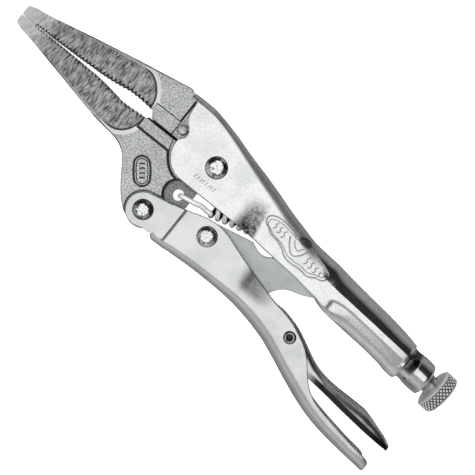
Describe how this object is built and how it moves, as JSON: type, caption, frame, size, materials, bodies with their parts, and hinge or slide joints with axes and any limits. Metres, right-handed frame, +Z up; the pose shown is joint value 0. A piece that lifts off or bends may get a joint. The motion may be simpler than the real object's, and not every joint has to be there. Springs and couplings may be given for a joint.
{
  "type": "locking pliers",
  "caption": "Long-nose locking pliers with wire cutter: over-centre linkage, release lever, and a knurled screw that sets the jaw gap.",
  "frame": {"origin": "centre of the bounding box at its lowest level: the plane the tool lies on, resting on its rivet heads", "axes": "+X from the jaws towards the adjusting knob along the closed jaws, +Y from the lower handle towards the upper handle, +Z up through the tool's thickness"},
  "size_m": [0.2268, 0.076, 0.0207],
  "materials": {
    "plated_sheet": "bright nickel plated pressed sheet",
    "jaw_forging": "plated forging with ground nose faces",
    "link_plate": "matte plated plate",
    "lever_sheet": "bright plated sheet",
    "rivet": "polished",
    "screw_steel": "plated thread",
    "knob_steel": "plated, diamond knurl",
    "spring_wire": "bright plated wire"
  },
  "bodies": {
    "body": {"upper_handle": "plated_sheet", "fixed_jaw": "jaw_forging", "locating_pin": "jaw_forging", "jaw_rivet": "rivet", "jaw_spring": "spring_wire"},
    "jaw": {"lower_jaw": "jaw_forging"},
    "handle": {"lower_handle": "plated_sheet", "handle_rivet": "rivet", "link_rivet": "rivet", "lever_rivet": "rivet"},
    "link": {"toggle_link": "link_plate"},
    "lever": {"release_lever": "lever_sheet"},
    "screw": {"adjusting_screw": "screw_steel"},
    "knob": {"adjusting_knob": "knob_steel"}
  },
  "joints": [
    {"name": "jaw_hinge", "type": "hinge", "parent": "body", "child": "jaw", "pos_m": [-0.01446, 0.01953, 0.01034], "axis": [0, 0, 1], "range_deg": [0, 28], "deforming": ["jaw_spring"]},
    {"name": "handle_hinge", "type": "hinge", "parent": "jaw", "child": "handle", "pos_m": [-0.02676, -0.01127, 0.01034], "axis": [0, 0, 1], "range_deg": [-76.01, 0]},
    {"name": "link_hinge", "type": "hinge", "parent": "handle", "child": "link", "pos_m": [-0.00046, -0.00382, 0.01034], "axis": [0, 0, 1], "range_deg": [0, 75.3]},
    {"name": "lever_hinge", "type": "hinge", "parent": "handle", "child": "lever", "pos_m": [0.04954, -0.01437, 0.01034], "axis": [0, 0, 1], "range_deg": [-8, 0]},
    {"name": "screw_slide", "type": "slide", "parent": "body", "child": "screw", "axis": [0.9968, -0.0797, 0], "range_m": [0, 0.02116]},
    {"name": "knob_turn", "type": "hinge", "parent": "screw", "child": "knob", "pos_m": [0.09854, 0.00633, 0.01034], "axis": [0.9968, -0.0797, 0], "range_deg": [0, 5400]}
  ],
  "couplings": [
    {"joint": "handle_hinge", "follows": "jaw_hinge", "ratio": -2.7143},
    {"joint": "link_hinge", "follows": "jaw_hinge", "ratio": 2.6889},
    {"joint": "screw_slide", "follows": "knob_turn", "m_per_rad": 0.00022441}
  ]
}
